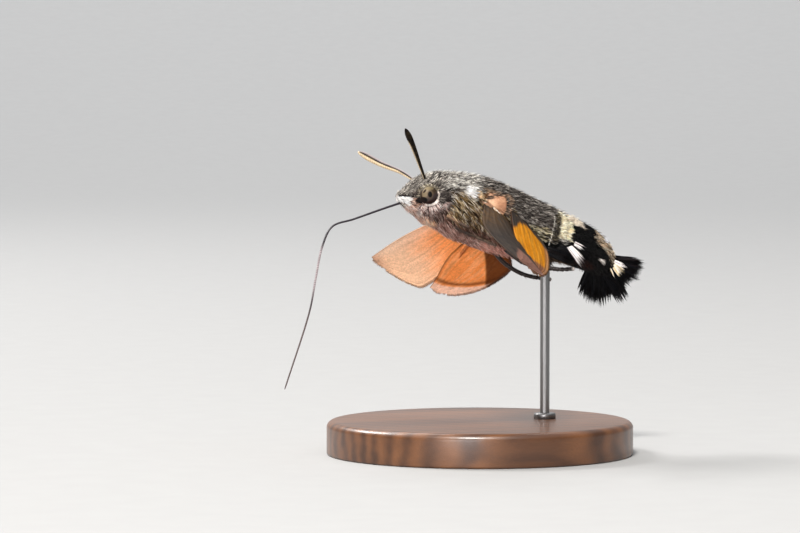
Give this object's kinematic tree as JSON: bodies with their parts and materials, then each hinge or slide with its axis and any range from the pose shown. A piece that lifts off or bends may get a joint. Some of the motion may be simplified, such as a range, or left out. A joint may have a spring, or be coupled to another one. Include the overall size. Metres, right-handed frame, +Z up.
{
  "type": "hummingbird hawk moth figure on display stand",
  "caption": "Life-size hovering hawk moth with long bent proboscis, lowered wings, trailing legs and spread tail fan, on a rod and a round base.",
  "frame": {"origin": "centre of the base underside", "axes": "the moth's head points to -X, up is +Z, its left side is -Y"},
  "size_m": [0.0414, 0.0413, 0.0343],
  "materials": {
    "fur_grey": "dense scales and hair, grey",
    "fur_abdomen": "dense scales, black with cream and white marks",
    "fan_hair": "long flat black scales",
    "eye": "polished, tan and brown",
    "palp": "short pale scales",
    "feeler": "matt dark brown",
    "proboscis": "horny, dark",
    "forewing": "fine grey-brown scales above, orange below",
    "hindwing": "fine orange scales",
    "leg": "matt black-brown",
    "walnut": "satin",
    "steel": "brushed"
  },
  "bodies": {
    "root": {"head": "fur_grey", "thorax": "fur_grey", "abdomen": "fur_abdomen", "tail_fan": "fan_hair", "eye_left": "eye", "eye_right": "eye", "palp_left": "palp", "palp_right": "palp", "antenna_left": "feeler", "antenna_right": "feeler", "proboscis_base": "proboscis", "proboscis_middle": "proboscis", "proboscis_tip": "proboscis", "forewing_left": "forewing", "forewing_right": "forewing", "hindwing_left": "hindwing", "hindwing_right": "hindwing", "foreleg_left": "leg", "foreleg_right": "leg", "midleg_left": "leg", "midleg_right": "leg", "hindleg_left": "leg", "hindleg_right": "leg", "stand_base": "walnut", "stand_rod": "steel"}
  },
  "joints": []
}
